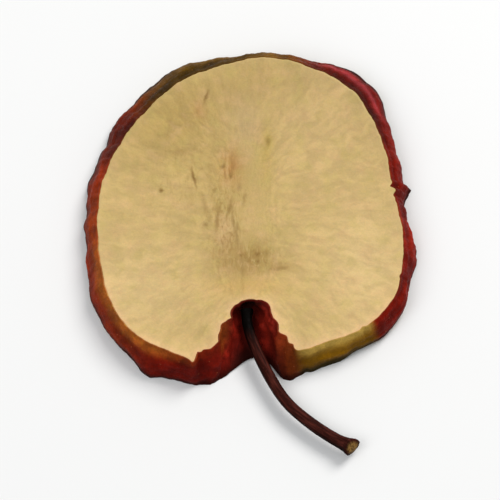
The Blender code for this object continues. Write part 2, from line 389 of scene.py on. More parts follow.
# The band's cross-section, all the way round it: the outer face down, the foot, the inner face
# up, and the cut lip. Each ring has its place down the band, and whether it shows outside.
section = [(skin_at(row, 0.0), row / SKIN_ROWS, 1.0) for row in range(SKIN_ROWS + 1)]
section += [(skin_at(SKIN_ROWS, SKIN_THICKNESS * share, -fall), 1.0, 0.0) for share, fall in FOOT_STEPS]
rows_up = (SKIN_ROWS, *INNER_ROWS[::-1], 0)
section += [(skin_at(row, SKIN_THICKNESS), row / SKIN_ROWS, 0.0) for row in rows_up]
section += [(skin_at(0, SKIN_THICKNESS * share, rise), 0.0, 0.0) for share, rise in LIP_STEPS[::-1]]


def between_rings(above, below):
    """Faces between two rings of vertex numbers, one above the other, seen from outside."""
    return np.column_stack((below, np.roll(below, -1), np.roll(above, -1), above)).tolist()


def shown(name, data):
    """A mesh, lamp or camera put in the scene."""
    made = bpy.data.objects.new(name, data)
    bpy.context.scene.collection.objects.link(made)
    return made


MM = 0.001


def piece_from(name, points, edges, faces, values):
    """A smooth piece from points in mm, with an attribute for each set of values over them."""
    mesh = bpy.data.meshes.new(name)
    mesh.from_pydata((points * MM).tolist(), edges, faces)
    kinds = {1: ("FLOAT", "value"), 3: ("FLOAT_VECTOR", "vector"), 4: ("FLOAT_COLOR", "color")}
    for label, numbers in values.items():
        kind, field = kinds[1 if numbers.ndim == 1 else numbers.shape[1]]
        attribute = mesh.attributes.new(label, kind, "POINT")
        attribute.data.foreach_set(field, numbers.astype(np.float32).ravel())
    mesh.shade_smooth()
    return shown(name, mesh)


def toward(colours, colour, share):
    """Colours moved this share of the way, at each point, towards another colour."""
    return colours + share[:, None] * (np.array(colour) - colours)


# The CAD slice's middle in plan says where the plan's own origin goes.
slice_low, slice_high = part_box("slice")
own_low = band.min(axis=(0, 1))
own_high = band.max(axis=(0, 1))
shift = (np.array(slice_low + slice_high) * 1000 - own_low - own_high) / 2
shift[2] = 0.0

rings, downs, outers = zip(*section)
skin_points = np.concatenate(rings)
skin_down = np.repeat(downs, RIBS)
skin_outer = np.repeat(outers, RIBS)
numbers = np.arange(len(skin_points)).reshape(-1, RIBS)
skin_faces = []
for above, below in zip(numbers, np.roll(numbers, -1, axis=0)):
    skin_faces += between_rings(above, below)


def down_band(values):
    """Values over the ribs, repeated for each ring of the section."""
    return np.tile(values, len(section))


angle = down_band(rim["angle"])
notch = down_band(rim["notch"])
olive = side_bell(angle, -60, 13.3, 14)
left_side = side_bell(angle, 215, 42, 4)
lower_left = side_bell(angle, 221, 25, 4)
upper_right = side_bell(angle, 48, 22, 4)
strip = bell(skin_down, 0, 0.31 - 0.12 * side_bell(angle, 250, 22), 3)
top_line = bell(skin_down, 0, 0.2, 3)
brown_lump = down_band(np.hypot(*(cut_edge - BROWN_LUMP[:2]).T))
foot_shade = toward(np.array(FOOT_SHADE), FOOT_OLIVE_SHADE, olive)
across_pit = down_band(cut_edge[:, 0]) - NOTCH_MIDDLE
# Painted shade: the hollow's walls go near black where the pit is deepest.
pit_shade = notch * bell(across_pit, 0.1 + 0.5 * bell(skin_down, 0.42, 0.25), 3.8 - 1.7 * skin_down, 3)
pit_shade *= 1 - 0.45 * np.clip((skin_down - 0.5) / 0.3, 0, 1)
# The colours laid on in turn, as (colour, share): the hollow's red, the olive place, a dry strip
# at the lower left, the upper right with a painted highlight strip, the upper left, the olive place's
# top and foot, the hollow's two walls, painted shade at the band's foot, the cut lip and painted shade in
# the pit.
BAND_LAYERS = (
    (HOLLOW_RED, 0.85 * notch),
    (OLIVE, olive),
    (RUSSET, (0.15 * left_side + 0.8 * lower_left) * strip),
    (DEEP_RED, 0.95 * upper_right),
    # Painted highlight: a pink strip along the middle of the band at the upper right.
    (ROSE_HIGHLIGHT, 0.55 * side_bell(angle, 54, 15, 4) * bell(skin_down, 0.36, 0.12)),
    (DARK_RED, 0.9 * upper_right * top_line),
    (DARK_RED, 0.7 * side_bell(angle, 148, 11, 4) * top_line),
    (DARK_OLIVE, 0.9 * side_bell(angle, 113, 24, 6) * bell(skin_down, 0, 0.36, 4)),
    (PALE_OLIVE, 0.85 * olive * bell(skin_down, 0, 0.2)),
    (DARK_OLIVE, 0.6 * olive * bell(skin_down, 0.95, 0.28, 4)),
    (HOLLOW_BROWN, 0.85 * bell(brown_lump, 0, BROWN_LUMP[2], 4) * bell(skin_down, 0, 0.42, 4)),
    (DARK_RED, 0.72 * side_bell(angle, -81, 3, 4) * np.clip((skin_down - 0.25) / 0.2, 0, 1)),
    # Painted shade at the band's foot, where it turns under.
    (foot_shade, 0.92 * bell(skin_down, 1, 0.18 + 0.16 * olive - 0.08 * notch, 2.5)),
    (DRY_FLESH, (0.1 + 0.5 * lower_left) * (1 - skin_outer)),
    # Painted shade in the pit.
    (HOLLOW_SHADE, pit_shade * np.clip(0.6 + skin_down / 0.2, 0, 0.98)),
)
skin_tone = np.array(CRIMSON)
for degrees, half_width, colour, share in PEEL_PLACES:
    skin_tone = toward(skin_tone, colour, share * side_bell(angle, degrees, half_width, 6))
for colour, share in BAND_LAYERS:
    skin_tone = toward(skin_tone, colour, share)

skin = piece_from(
    "skin",
    skin_points + shift,
    [],
    skin_faces,
    {
        "tone": np.insert(skin_tone, 3, 1, axis=1),
        "down": skin_down,
        "outer": skin_outer,
        "notch": notch,
        "warm": (0.2 + 0.2 * left_side + 0.6 * lower_left) * (1 - notch) * (1 - olive),
        "olive": olive,
    },
)


def add_node(tree, kind, inputs=None, **settings):
    """A node of this kind with its settings; each input is given a value or another node's output."""
    node = tree.nodes.new(kind)
    for name, value in settings.items():
        setattr(node, name, value)
    for name, value in (inputs or {}).items():
        if isinstance(value, bpy.types.NodeSocket):
            tree.links.new(value, node.inputs[name])
        else:
            node.inputs[name].default_value = value
    return node


def reckon(tree, operation, *values):
    """A sum on numbers, done by a Math node."""
    return add_node(tree, "ShaderNodeMath", dict(enumerate(values)), operation=operation).outputs[0]


def times(tree, first, second):
    """One number times another."""
    return reckon(tree, "MULTIPLY", first, second)


def less(tree, first, second):
    """One number less another."""
    return reckon(tree, "SUBTRACT", first, second)


def vector_sum(tree, operation, *values):
    """A sum on vectors or colours, done by a Vector Math node."""
    return add_node(tree, "ShaderNodeVectorMath", dict(enumerate(values)), operation=operation).outputs[0]


def scaled(tree, vector, size):
    """A vector or colour times one number, or times one for each axis."""
    return vector_sum(tree, "MULTIPLY", vector, size)


def upright(tree, length):
    """A vector of this length, straight up."""
    return add_node(tree, "ShaderNodeCombineXYZ", {"Z": length}).outputs[0]


def noise(tree, vector, size, detail=3.0, roughness=0.5, distortion=0.0):
    """Smooth noise from 0 to 1, with features of about this size in the vector's units."""
    inputs = {
        "Vector": vector,
        "Scale": reckon(tree, "DIVIDE", 1.0, size) if isinstance(size, bpy.types.NodeSocket) else 1 / size,
        "Detail": detail,
        "Roughness": roughness,
        "Distortion": distortion,
    }
    return add_node(tree, "ShaderNodeTexNoise", inputs).outputs[0]


def spread(tree, value, low, high, to_low=0.0, to_high=1.0):
    """A value's range from low to high, eased into a new range and held there beyond it."""
    inputs = {"Value": value, "From Min": low, "From Max": high, "To Min": to_low, "To Max": to_high}
    return add_node(tree, "ShaderNodeMapRange", inputs, interpolation_type="SMOOTHSTEP").outputs[0]


def blended(tree, share, first, second):
    """One colour mixed into another by a share."""
    first, second = ((*end, 1.0) if isinstance(end, tuple) else end for end in (first, second))
    return add_node(tree, "ShaderNodeMix", {0: share, 6: first, 7: second}, data_type="RGBA").outputs[2]


def shaping_tree(name, sizes):
    """A new Geometry Nodes tree with an input for each size: it, its start and end, and places in mm."""
    tree = bpy.data.node_groups.new(name, "GeometryNodeTree")
    tree.is_modifier = True
    kinds = {"Geometry": "Geometry", **dict.fromkeys(sizes, "Float"), "Material": "Material"}
    for label, kind in kinds.items():
        tree.interface.new_socket(label, in_out="INPUT", socket_type=f"NodeSocket{kind}")
    tree.interface.new_socket("Geometry", in_out="OUTPUT", socket_type="NodeSocketGeometry")
    place = scaled(tree, tree.nodes.new("GeometryNodeInputPosition").outputs[0], (1000,) * 3)
    start = tree.nodes.new("NodeGroupInput").outputs
    return tree, start, tree.nodes.new("NodeGroupOutput").inputs, place


def named(tree, label, kind="FLOAT"):
    """An attribute of the mesh, read by its name."""
    return add_node(tree, "GeometryNodeInputNamedAttribute", {"Name": label}, data_type=kind).outputs[0]


def kept_as(tree, geometry, label, value, kind="FLOAT"):
    """The geometry with a value at each point stored under this name."""
    inputs = {"Geometry": geometry, "Name": label, "Value": value}
    return add_node(tree, "GeometryNodeStoreNamedAttribute", inputs, data_type=kind).outputs[0]


def moved_out(tree, geometry, distance):
    """The geometry moved along its own normals by a distance in mm."""
    normal = tree.nodes.new("GeometryNodeInputNormal").outputs[0]
    offset = scaled(tree, normal, times(tree, distance, MM))
    return add_node(tree, "GeometryNodeSetPosition", {"Geometry": geometry, "Offset": offset}).outputs[0]


def finished(tree, geometry, start, end):
    """The end of a shaping tree: real geometry in the piece's own material."""
    real = add_node(tree, "GeometryNodeRealizeInstances", {"Geometry": geometry}).outputs[0]
    inputs = {"Geometry": real, "Material": start["Material"]}
    tree.links.new(add_node(tree, "GeometryNodeSetMaterial", inputs).outputs[0], end[0])


def shape_by(made, name, sizes, material):
    """Runs a shaping tree over a piece and keeps the result as its plain mesh."""
    modifier = made.modifiers.new(name, "NODES")
    modifier.node_group = bpy.data.node_groups[name]
    values = {**sizes, "Material": material}
    for item in modifier.node_group.interface.items_tree:
        if item.in_out == "INPUT" and item.name in values:
            modifier[item.identifier] = values[item.name]
    graph = bpy.context.evaluated_depsgraph_get()
    evaluated = made.evaluated_get(graph)
    shaped = bpy.data.meshes.new_from_object(evaluated, preserve_all_data_layers=True, depsgraph=graph)
    made.modifiers.clear()
    made.data = shaped
    shaped.name = made.name
    shaped.shade_smooth()


# Wrinkles of the peel: long folds that follow the band, pleats across it, fine leathery creases,
# and lumps in the hollow. They die out at the cut lip and the foot. Low pale dots, the peel's
# pores, are scattered on it.
tree, start, end, place = shaping_tree("peel wrinkles", PEEL_SIZES)
down = named(tree, "down")
level = upright(tree, times(tree, down, SKIN_HEIGHT))
along_band = vector_sum(tree, "MULTIPLY_ADD", place, (0.3, 0.3, 0.0), level)
folds = noise(tree, along_band, start["Fold Size"], detail=1.0, roughness=0.45, distortion=0.3)
across_band = scaled(tree, place, (1, 1, 0.25))
pleats = noise(tree, across_band, start["Pleat Size"], detail=1.0, distortion=0.5)
swells = spread(tree, noise(tree, place, 11.0, detail=1.0), 0.35, 0.65)
crease_place = scaled(tree, place, (1, 1, 0.6))
creases = noise(tree, crease_place, start["Crease Size"], roughness=0.6, distortion=0.9)
lumps = noise(tree, place, 1.9, detail=2.0)
fade = times(tree, spread(tree, down, 0.0, 0.16), spread(tree, down, 1.0, 0.88))
fade = times(tree, fade, named(tree, "outer"))
folds = spread(tree, folds, 0.3, 0.7, -0.5, 0.5)
pleats = times(tree, spread(tree, pleats, 0.3, 0.7, -0.5, 0.5), swells)
valleys = reckon(tree, "ABSOLUTE", less(tree, creases, 0.5))
valleys = spread(tree, valleys, 0.0, 0.09, -1.0, 0.0)
calm = spread(tree, named(tree, "notch"), 0.1, 0.9, 1.0, 0.35)
height = times(tree, times(tree, folds, calm), start["Fold Depth"])
lumps = times(tree, spread(tree, lumps, 0.45, 0.7), named(tree, "notch"))
for layer, depth in ((pleats, "Pleat Depth"), (valleys, "Crease Depth"), (lumps, "Lump Depth")):
    height = reckon(tree, "MULTIPLY_ADD", layer, start[depth], height)
height = times(tree, height, fade)
wrinkled = kept_as(tree, start["Geometry"], "fold", reckon(tree, "DIVIDE", height, start["Fold Depth"]))
wrinkled = kept_as(tree, wrinkled, "dot", 0.0)
wrinkled = moved_out(tree, wrinkled, height)

dot_field = times(tree, spread(tree, down, 0.1, 0.25), spread(tree, down, 0.95, 0.8))
dot_field = times(tree, dot_field, named(tree, "outer"))
dot_field = reckon(tree, "GREATER_THAN", less(tree, dot_field, named(tree, "notch")), 0.5)
spots = add_node(
    tree,
    "GeometryNodeDistributePointsOnFaces",
    {
        "Mesh": wrinkled,
        "Selection": dot_field,
        "Distance Min": times(tree, start["Dot Spacing"], MM),
        "Density Max": 160000.0,
        "Seed": 7,
    },
    distribute_method="POISSON",
)
dome = add_node(tree, "GeometryNodeMeshIcoSphere", {"Radius": MM, "Subdivisions": 2}).outputs[0]
dome = add_node(tree, "GeometryNodeTransform", {"Geometry": dome, "Scale": (1, 1, 0.3)}).outputs[0]
dot_range = {"Min": (0.6, 0.6, 0.7), "Max": (1.3, 1.2, 1.1), "Seed": 3}
dot_size = add_node(tree, "FunctionNodeRandomValue", dot_range, data_type="FLOAT_VECTOR").outputs[0]
dots = add_node(
    tree,
    "GeometryNodeInstanceOnPoints",
    {
        "Points": spots.outputs["Points"],
        "Instance": dome,
        "Rotation": spots.outputs["Rotation"],
        "Scale": scaled(tree, dot_size, start["Dot Radius"]),
    },
).outputs[0]
dots = add_node(tree, "GeometryNodeRealizeInstances", {"Geometry": dots}).outputs[0]
dots = kept_as(tree, dots, "dot", 1.0)
joined = add_node(tree, "GeometryNodeJoinGeometry", {0: wrinkled})
tree.links.new(dots, joined.inputs[0])
finished(tree, joined.outputs[0], start, end)


def new_material(name, **constants):
    """A material with its shader, its tree, and Object coordinates in mm."""
    material = bpy.data.materials.new(name)
    material.use_nodes = True
    tree = material.node_tree
    shader = tree.nodes["Principled BSDF"]
    for label, value in constants.items():
        shader.inputs[label.replace("_", " ")].default_value = value
    place = scaled(tree, tree.nodes.new("ShaderNodeTexCoord").outputs["Object"], (1000,) * 3)
    return material, tree, shader, place


def attribute(tree, label, output="Fac"):
    """An attribute of the piece, read in a material."""
    return add_node(tree, "ShaderNodeAttribute", attribute_name=label).outputs[output]


def dressed(tree, shader, colour, roughness, heights):
    """A shader's colour, roughness and fine relief, the last from (height, depth in mm) pairs."""
    tree.links.new(colour, shader.inputs["Base Color"])
    tree.links.new(roughness, shader.inputs["Roughness"])
    normal = None
    for height, depth in heights:
        inputs = {"Height": height, "Distance": depth * MM, "Strength": 1.0}
        if normal is not None:
            inputs["Normal"] = normal
        normal = add_node(tree, "ShaderNodeBump", inputs).outputs[0]
    tree.links.new(normal, shader.inputs["Normal"])


peel_material, tree, shader, place = new_material("dried peel", Specular_IOR_Level=0.04)
tone = attribute(tree, "tone", "Color")
fold = attribute(tree, "fold")
blotch = noise(tree, place, 2.6, roughness=0.55)
patch = noise(tree, place, 1.1, roughness=0.6, distortion=0.6)
grain = noise(tree, place, 0.28, detail=2.0, roughness=0.6)
blotch = spread(tree, blotch, 0.3, 0.7, -0.34, 0.28)
calm = reckon(tree, "MAXIMUM", attribute(tree, "olive"), attribute(tree, "notch"))
calm = spread(tree, calm, 0.0, 1.0, 1.0, 0.4)
colour = scaled(tree, tone, reckon(tree, "MULTIPLY_ADD", blotch, calm, 1.0))
# Painted shade: in the hollow the low places between the lumps are darkened.
crevice_shade = spread(tree, fold, 0.0, 1.1, -0.3, 0.1)
colour = scaled(tree, colour, reckon(tree, "MULTIPLY_ADD", crevice_shade, attribute(tree, "notch"), 1.0))
warmed = scaled(tree, colour, (1.15, 1.9, 1.3))
warm_share = times(tree, spread(tree, patch, 0.52, 0.72, 0.0, 0.6), attribute(tree, "warm"))
colour = blended(tree, warm_share, colour, warmed)
# Painted shade and light: the peel is darker in its fold valleys and lighter on the ridges.
colour = scaled(tree, colour, spread(tree, fold, -0.6, 0.5, 0.72, 1.15))
colour = scaled(tree, colour, spread(tree, grain, 0.25, 0.75, 0.86, 1.14))
colour = blended(tree, times(tree, attribute(tree, "dot"), 0.45), colour, PORE_TAN)
roughness = spread(tree, patch, 0.3, 0.7, 0.38, 0.56)
cells = {"Vector": place, "Scale": 2.6}
leather = add_node(tree, "ShaderNodeTexVoronoi", cells, feature="DISTANCE_TO_EDGE").outputs["Distance"]
dressed(tree, shader, colour, roughness, ((spread(tree, leather, 0.0, 0.12), 0.03), (grain, 0.05)))

shape_by(skin, "peel wrinkles", PEEL_SIZES, peel_material)
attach(skin, "root")
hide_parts("slice")

# Flesh: the white of the apple, cut in one pull of the knife and dried to a pale leathery slab.
# It has sunk inside the skin, more over the core, and carries fine crepe wrinkles that run out
# from the core, with the marks of the vessels that fed it. It fills the band of skin.

CORE_DENT = 0.45
CORE_PLACE = np.array((-1.0, -9.0))
CORE_HALF_SIZE = np.array((6.0, 11.0))
FLESH_WAVE = 0.16
FLESH_WAVE_LENGTHS = np.array((19.0, 23.0))
FLESH_WAVE_PHASES = (0.6, -0.4)

FLESH_INSET = 0.26
# Over this stretch under the notch the lower face stays flat.
FLAT_HALF_WIDTH = 7.5
FLAT_HALF_LENGTH = 11.0
FLAT_MIDDLE = -30.0
FACE_STEP = 0.29
LOWER_STEP = 0.8
SIDE_ROWS = ((1, 0.3), (4, 0.6), (9, 0.7), (15, 0.7), (21, 0.7), (27, 0.7), (32, 0.6), (35, 0.4))

CORE_TOP = np.array((-1.0, 13.0))
CORE_FOOT = np.array((-0.6, -21.5))
FIBRE_ROUND = 15.0
FIBRE_OUT = 4.5

FLESH_SIZES = {
    "Wrinkle Depth": 0.13,
    "Crepe Depth": 0.05,
    "Crepe Size": 0.7,
    "Patch Depth": 0.1,
    "Patch Size": 5.0,
}

PALE_FLESH = srgb(200, 171, 112)
OLIVE_FLESH = srgb(178, 149, 86)
PINK_FLESH = srgb(201, 171, 118)
WARM_FLESH = srgb(199, 161, 95)
LIGHT_FLESH = srgb(222, 192, 137)
EDGE_FLESH = srgb(238, 188, 138)
CORE_FLESH = srgb(158, 126, 68)
GREY_FLESH = srgb(188, 160, 118)
BRUISE_FLESH = srgb(182, 132, 76)
YELLOW_FLESH = srgb(182, 156, 78)
MARK_BROWN = srgb(130, 98, 48)
VEIN_BROWN = srgb(148, 112, 60)
ROSE_TINT = srgb(212, 172, 124)
GREEN_TINT = srgb(190, 170, 98)
# Where the flesh's colour departs from the rest, as (x, y, half width, half length, colour, share).
FLESH_PLACES = (
    # The first two olive places, at the upper left and the top, are partly the flesh's own olive tint,
    # partly painted shadow darkening the face towards the top.
    (-15.0, 17.0, 15.0, 11.0, OLIVE_FLESH, 0.8),
    (2.0, 24.0, 9.0, 6.0, OLIVE_FLESH, 0.45),
    (-4.0, 2.0, 8.0, 11.0, OLIVE_FLESH, 0.4),
    (13.0, 15.0, 11.0, 12.0, PINK_FLESH, 0.55),
    (-0.8, 16.0, 3.5, 5.0, GREY_FLESH, 0.5),
    (22.0, -14.0, 9.0, 14.0, LIGHT_FLESH, 0.6),
    (-21.0, -19.0, 10.0, 9.0, LIGHT_FLESH, 0.5),
    (0.0, -18.5, 7.0, 2.6, WARM_FLESH, 0.7),
    (-4.6, -5.5, 2.6, 8.0, CORE_FLESH, 0.4),
    (-4.7, -6.5, 1.5, 4.5, ROSE_TINT, 0.5),
    (1.2, -11.5, 3.4, 3.2, CORE_FLESH, 0.9),
    (-3.6, -12.2, 3.6, 3.4, CORE_FLESH, 0.55),
    (-1.0, -14.6, 3.4, 1.9, CORE_FLESH, 0.45),
    (5.2, -14.0, 3.8, 1.6, CORE_FLESH, 0.5),
    (-3.4, 6.8, 2.1, 3.3, BRUISE_FLESH, 0.85),
    (-9.4, 18.3, 1.2, 1.8, BRUISE_FLESH, 0.45),
    (3.2, 9.0, 1.3, 6.0, YELLOW_FLESH, 0.55),
    (3.6, 12.2, 0.9, 1.5, YELLOW_FLESH, 0.6),
)
# Where the fibres' wrinkles die out above the core, as (x, y, half width, half length).
SMOOTH_TOP = (-1.0, 20.0, 9.0, 8.0)
# Where veins mottle the face, as (x, y, half width, half length, strength).
HEART_PLACES = (
    (-4.2, -4.5, 3.4, 10.0, 1.0),
    (0.8, -12.4, 4.8, 3.4, 1.0),
    (-4.0, 6.0, 2.2, 3.6, 1.0),
    (-12.0, 4.0, 8.0, 9.0, 0.4),
    (-7.0, 17.0, 8.0, 6.0, 0.3),
)
# How far the marks' outlines wander, in mm.
MARK_WOBBLE = 0.7
# Marks of vessels and bruises, as (x, y, half length, half width, degrees, strength).
FLESH_MARKS = (
    (-8.1, 20.9, 1.4, 0.34, 70, 0.8),
    (-10.4, 4.7, 2.1, 0.32, 103.5, 0.85),
    (-16.5, 1.8, 0.5, 0.42, 0, 0.9),
    (3.6, 12.1, 1.0, 0.42, 90, 0.45),
    (-4.9, 7.0, 0.6, 0.45, 40, 0.7),
    (-3.5, 5.0, 0.6, 0.45, 80, 0.65),
    (-3.75, -1.9, 2.4, 0.32, 73, 0.5),
    (-2.3, -7.4, 2.8, 0.3, 94, 0.45),
    (-2.9, -4.6, 3.6, 0.36, 97, 0.45),
    (-6.5, 2.0, 0.5, 0.35, 60, 0.5),
    (-1.9, 2.6, 0.9, 0.4, 85, 0.45),
    (1.6, -11.3, 0.5, 0.42, 20, 0.75),
    (1.6, -12.9, 0.5, 0.4, 100, 0.65),
    (-1.5, -11.5, 0.4, 0.34, 60, 0.6),
    (-8.1, -5.2, 0.6, 0.45, 30, 0.5),
    (5.8, -14.4, 1.7, 0.45, 8, 0.4),
    (-1.3, -15.0, 5.5, 0.3, 92, 0.25),
    (-8.0, -2.0, 4.0, 0.5, 108, 0.3),
    (-5.9, -3.5, 3.2, 0.45, 84, 0.3),
    (-0.9, 0.2, 1.8, 0.4, 80, 0.35),
    (3.4, -11.0, 1.0, 0.8, 60, 0.3),
    (-12.5, 10.0, 2.0, 0.8, 10, 0.25),
)


POINTS_AT_ONCE = 4000


def from_edge(plan, edge, values):
    """How far each point lies from the edge, and the ribs' values blended there."""
    gaps, blends = [], []
    for part in np.array_split(plan, len(plan) // POINTS_AT_ONCE + 1):
        apart = (part[:, :1] - edge[:, 0]) ** 2 + (part[:, 1:] - edge[:, 1]) ** 2
        weight = (apart + 0.0001) ** -3
        gaps.append(np.sqrt(apart.min(axis=1)))
        blends.append(weight @ values / weight.sum(axis=1, keepdims=True))
    return np.concatenate(gaps), np.concatenate(blends)


def within(spots, loop):
    """Whether each spot is inside a loop: a line to its right crosses the loop an odd number of times."""
    inside = np.zeros(len(spots), bool)
    for (x, y), (next_x, next_y) in zip(loop, np.roll(loop, -1, axis=0)):
        if y != next_y:
            level = (y > spots[:, 1]) != (next_y > spots[:, 1])
            inside ^= level & (spots[:, 0] < x + (next_x - x) * (spots[:, 1] - y) / (next_y - y))
    return inside


def face_plan(loop, step):
    """The points of a face in plan, those of its loop first, and the triangles between them."""
    rows = np.arange(loop[:, 1].min(), loop[:, 1].max(), step * math.sqrt(0.75))
    across = np.arange(loop[:, 0].min(), loop[:, 0].max(), step)
    spots = np.array([(x + step / 2 * (number % 2), y) for number, y in enumerate(rows) for x in across])
    gap = from_edge(spots, loop, np.zeros((len(loop), 1)))[0]
    plan = np.vstack((loop, spots[within(spots, loop) & (gap > 0.6 * step)]))
    ribs = len(loop)
    edges = [(rib, (rib + 1) % ribs) for rib in range(ribs)]
    made = delaunay_2d_cdt([Vector(spot) for spot in plan.tolist()], edges, [], 0, 1e-7, True)
    first = [numbers[0] for numbers in made[3]]
    faces = [tuple(first[corner] for corner in face) for face in made[2]]
    # A triangle with all its corners on the loop lies inside if it meets them in the loop's order.
    kept = [(a, b, c) for a, b, c in faces if max(a, b, c) >= ribs or (b - a) % ribs < (c - a) % ribs]
    return plan, kept


def oval(plan, x, y, half_width, half_length):
    """1 at the middle of an oval in plan, falling smoothly to nothing round it."""
    return bell(np.hypot((plan[:, 0] - x) / half_width, (plan[:, 1] - y) / half_length), 0, 1)


def flesh_relief(plan):
    """The low waves of the dried face and the dent over the core."""
    away = (plan - CORE_PLACE) / CORE_HALF_SIZE
    dent = CORE_DENT * np.exp(-(away**2).sum(axis=1))
    across, along = (plan / FLESH_WAVE_LENGTHS * 2 * math.pi).T
    wave = FLESH_WAVE * np.sin(across + FLESH_WAVE_PHASES[0]) * np.cos(along + FLESH_WAVE_PHASES[1])
    return wave - dent


rim_values = np.column_stack((rim["arch"], rim["rise"], rim["cut_pucker"], rim["foot_pucker"]))
flesh_cut = cut_edge - FLESH_INSET * rim["way_out"]
plan, upper_faces = face_plan(flesh_cut, FACE_STEP)
inset, blend = from_edge(plan, cut_edge, rim_values)
near_rim = np.exp(-inset / RIM_FADE)
height = SKIN_HEIGHT + lifted(plan[:, 1]) - UPPER_SINK * (1 - np.exp(-inset / SINK_WIDTH))
height += (UPPER_ARCH * blend[:, 0] + blend[:, 1]) * near_rim
height += CUT_PUCKER_RISE * blend[:, 2] * np.exp(-inset / PUCKER_FADE)
height += flesh_relief(plan) * (1 - near_rim)
upper_face = np.column_stack((plan, height))
upper_inset = inset

flesh_foot = foot_edge - FLESH_INSET * rim["foot_out"]
plan, lower_faces = face_plan(flesh_foot, LOWER_STEP)
inset, blend = from_edge(plan, foot_edge, rim_values)
under_notch = bell(plan[:, 0], NOTCH_MIDDLE, FLAT_HALF_WIDTH, 4)
under_notch *= bell(plan[:, 1], FLAT_MIDDLE, FLAT_HALF_LENGTH, 4)
sink = LOWER_SINK * (1 - under_notch)
height = lifted(plan[:, 1]) - SETTLE + sink * (1 - np.exp(-inset / SINK_WIDTH))
height += blend[:, 0] * np.exp(-inset / RIM_FADE)
height += FOOT_PUCKER_RISE * blend[:, 3] * np.exp(-inset / PUCKER_FADE)
lower_face = np.column_stack((plan, np.maximum(height, 0.02)))
lower_inset = inset * (1 - under_notch)

# The two faces are joined by rings that run down just inside the skin.
side_rings = [skin_at(row, depth) for row, depth in SIDE_ROWS]
flesh_points = np.concatenate((upper_face, lower_face, *side_rings))
flesh_inset = np.concatenate((upper_inset, lower_inset, np.zeros(RIBS * len(side_rings))))
lower_first = len(upper_face)
side_first = lower_first + len(lower_face)
flesh_faces = list(upper_faces)
flesh_faces += [tuple(lower_first + corner for corner in face[::-1]) for face in lower_faces]
ring_starts = [0, *(side_first + RIBS * number for number in range(len(side_rings))), lower_first]
for above, below in zip(ring_starts, ring_starts[1:]):
    flesh_faces += between_rings(above + np.arange(RIBS), below + np.arange(RIBS))

# Fibres run out from the core: one number says how far out, two how far round.
half_core = np.linalg.norm(CORE_TOP - CORE_FOOT) / 2
to_top = np.linalg.norm(flesh_points[:, :2] - CORE_TOP, axis=1)
to_foot = np.linalg.norm(flesh_points[:, :2] - CORE_FOOT, axis=1)
out = np.arccosh(np.maximum((to_top + to_foot) / (2 * half_core), 1.0))
cosine = np.clip((to_foot - to_top) / (2 * half_core), -1, 1)
sine = np.sqrt(1 - cosine**2) * np.sign(flesh_points[:, 0] - CORE_TOP[0])
sine *= 1 - np.exp(-((out / 0.25) ** 2))
fibre = np.column_stack((FIBRE_ROUND * cosine, FIBRE_ROUND * sine, FIBRE_OUT * out))

flesh_tone = np.array(PALE_FLESH)
for *where, colour, share in FLESH_PLACES:
    flesh_tone = toward(flesh_tone, colour, share * oval(flesh_points, *where))
stem_end = np.clip((-12 - flesh_points[:, 1]) / 12, 0, 1)
# A pale rim along the cut edge, strongest at the stem end: partly painted highlight on the lit edge,
# partly the flesh's own paler edge.
flesh_tone = toward(flesh_tone, LIGHT_FLESH, (0.25 + 0.6 * stem_end) * np.exp(-flesh_inset / 1.1))
flesh_tone = toward(flesh_tone, EDGE_FLESH, stem_end * np.exp(-flesh_inset / 0.7))

smooth = np.maximum(np.exp(-((out / 0.3) ** 2)), 0.8 * oval(flesh_points, *SMOOTH_TOP))
heart = np.max([strength * oval(flesh_points, *where) for *where, strength in HEART_PLACES], axis=0)

flesh = piece_from(
    "flesh",
    flesh_points + shift,
    [],
    flesh_faces,
    {
        "tone": np.insert(flesh_tone, 3, 1, axis=1),
        "fibre": fibre,
        "inset": flesh_inset,
        "smooth": smooth,
        "heart": heart,
    },
)

# Dried flesh relief: crepe wrinkles along the fibres, a finer crackle and low patches.
tree, start, end, place = shaping_tree("dried flesh relief", FLESH_SIZES)
sway = add_node(tree, "ShaderNodeTexNoise", {"Vector": place, "Scale": 0.35, "Detail": 1.0}).outputs[1]
sway = scaled(tree, sway, (2.0, 2.0, 1.0))
along_fibre = vector_sum(tree, "ADD", named(tree, "fibre", "FLOAT_VECTOR"), sway)
wrinkle = noise(tree, along_fibre, 1.0, roughness=0.55, distortion=0.3)
wrinkle = spread(tree, wrinkle, 0.28, 0.72, -0.5, 0.5)
crepe = noise(tree, place, start["Crepe Size"], detail=2.0, roughness=0.6, distortion=0.5)
crepe = less(tree, crepe, 0.5)
patch = less(tree, noise(tree, place, start["Patch Size"], detail=2.0), 0.5)
calm = spread(tree, named(tree, "smooth"), 0.2, 0.9, 1.0, 0.25)
height = times(tree, times(tree, wrinkle, calm), start["Wrinkle Depth"])
height = reckon(tree, "MULTIPLY_ADD", crepe, start["Crepe Depth"], height)
relief = reckon(tree, "DIVIDE", height, start["Wrinkle Depth"])
height = reckon(tree, "MULTIPLY_ADD", patch, start["Patch Depth"], height)
fade = spread(tree, named(tree, "inset"), 0.15, 1.0)
textured = kept_as(tree, start["Geometry"], "relief", times(tree, relief, fade))
textured = moved_out(tree, textured, times(tree, height, fade))
finished(tree, textured, start, end)

